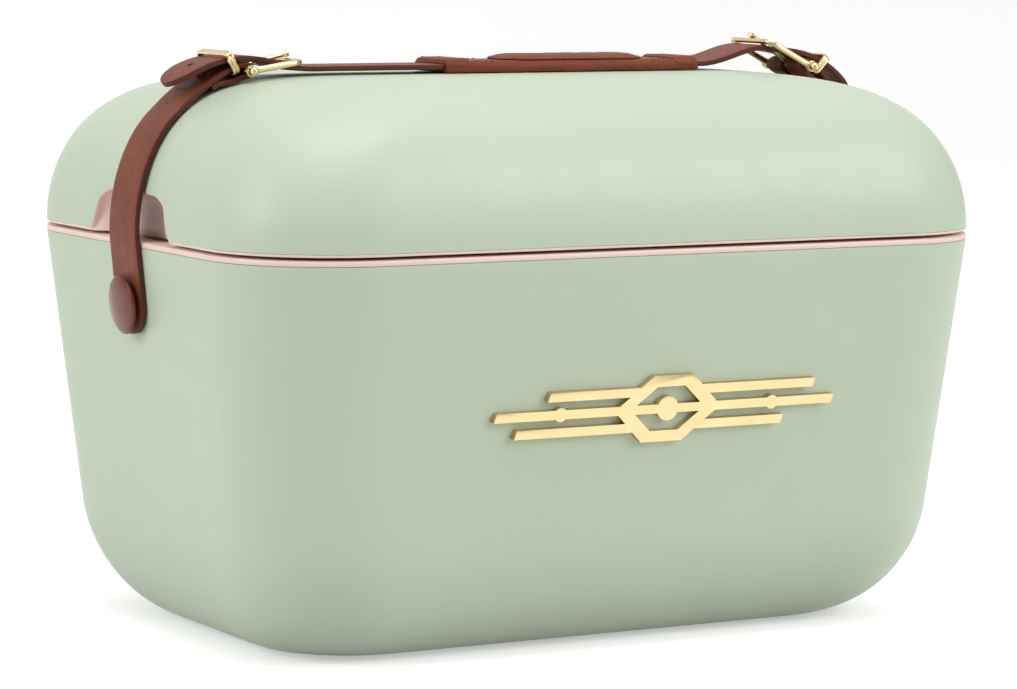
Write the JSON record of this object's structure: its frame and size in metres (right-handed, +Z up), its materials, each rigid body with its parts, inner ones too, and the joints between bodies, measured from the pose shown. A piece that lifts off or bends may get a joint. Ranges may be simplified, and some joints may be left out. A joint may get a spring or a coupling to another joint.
{
  "type": "portable insulated cooler box",
  "caption": "Domed two-tone insulated picnic cooler box with lift-off lid, leather carrying strap, brass buckles, round strap buttons and a raked metal emblem.",
  "frame": {"origin": "middle of the flat bottom, on the surface it stands on", "axes": "+Z up, X along the box between the two strap buttons, -Y toward the front with the emblem"},
  "size_m": [0.449, 0.312, 0.308],
  "materials": {
    "sage_plastic": "matte",
    "blush_plastic": "matte",
    "foam": "matte",
    "leather": "satin",
    "button_enamel": "gloss",
    "pale_brass": "polished",
    "steel": "satin",
    "seal_rubber": "matte"
  },
  "bodies": {
    "base": {"body_shell": "sage_plastic", "body_insulation": "foam", "body_liner": "blush_plastic", "body_fill_plug": "sage_plastic", "emblem": "pale_brass", "emblem_clip_left": "steel", "emblem_clip_right": "steel", "button_left": "button_enamel", "button_right": "button_enamel", "anchor_nut_left": "steel", "anchor_nut_right": "steel", "strap_end_left": "leather", "strap_end_right": "leather"},
    "lid": {"lid_shell": "sage_plastic", "lid_insulation": "foam", "lid_liner": "blush_plastic", "lid_seal": "seal_rubber", "lid_fill_plug": "blush_plastic", "finger_cup_left": "blush_plastic", "finger_cup_right": "blush_plastic", "lid_flange": "blush_plastic"},
    "strap_left": {"leg_left": "leather", "frame_left": "pale_brass", "hinge_bar_left": "pale_brass", "fold_rivet_left": "button_enamel"},
    "strap_right": {"leg_right": "leather", "frame_right": "pale_brass", "hinge_bar_right": "pale_brass", "fold_rivet_right": "button_enamel", "handle_strap": "leather"},
    "prong_left": {"prong_left": "pale_brass"},
    "prong_right": {"prong_right": "pale_brass"},
    "keeper_left": {"keeper_left": "pale_brass"},
    "keeper_right": {"keeper_right": "pale_brass"},
    "grip": {"grip_sleeve": "leather", "grip_core": "foam", "grip_cover": "leather"}
  },
  "joints": [
    {"name": "strap_open_right", "type": "hinge", "parent": "base", "child": "strap_right", "pos_m": [0.21901, 0, 0.194], "axis": [0, 1, 0], "range_deg": [0, 110], "deforming": ["handle_strap", "leg_right"]},
    {"name": "strap_open_left", "type": "hinge", "parent": "base", "child": "strap_left", "pos_m": [-0.21901, 0, 0.194], "axis": [0, -1, 0], "range_deg": [0, 110], "deforming": ["leg_left"]},
    {"name": "lid_lift", "type": "slide", "parent": "base", "child": "lid", "axis": [0, 0, 1], "range_m": [0, 0.15]},
    {"name": "prong_swing_left", "type": "hinge", "parent": "strap_left", "child": "prong_left", "pos_m": [-0.16, 0, 0.2899], "axis": [0, -1, 0], "range_deg": [0, 55]},
    {"name": "prong_swing_right", "type": "hinge", "parent": "strap_right", "child": "prong_right", "pos_m": [0.179, 0, 0.2885], "axis": [0, 1, 0], "range_deg": [0, 55]},
    {"name": "keeper_slide_left", "type": "slide", "parent": "strap_left", "child": "keeper_left", "axis": [-0.8988, 0, -0.4384], "range_m": [0, 0.0015]},
    {"name": "keeper_slide_right", "type": "slide", "parent": "strap_right", "child": "keeper_right", "axis": [0.7145, 0, -0.6997], "range_m": [0, 0.0015]},
    {"name": "grip_slide", "type": "slide", "parent": "strap_right", "child": "grip", "axis": [1, 0, 0], "range_m": [-0.058, 0]}
  ],
  "couplings": [
    {"joint": "strap_open_left", "follows": "strap_open_right", "ratio": 1},
    {"joint": "lid_lift", "follows": "strap_open_right", "m_per_rad": 0.078}
  ]
}
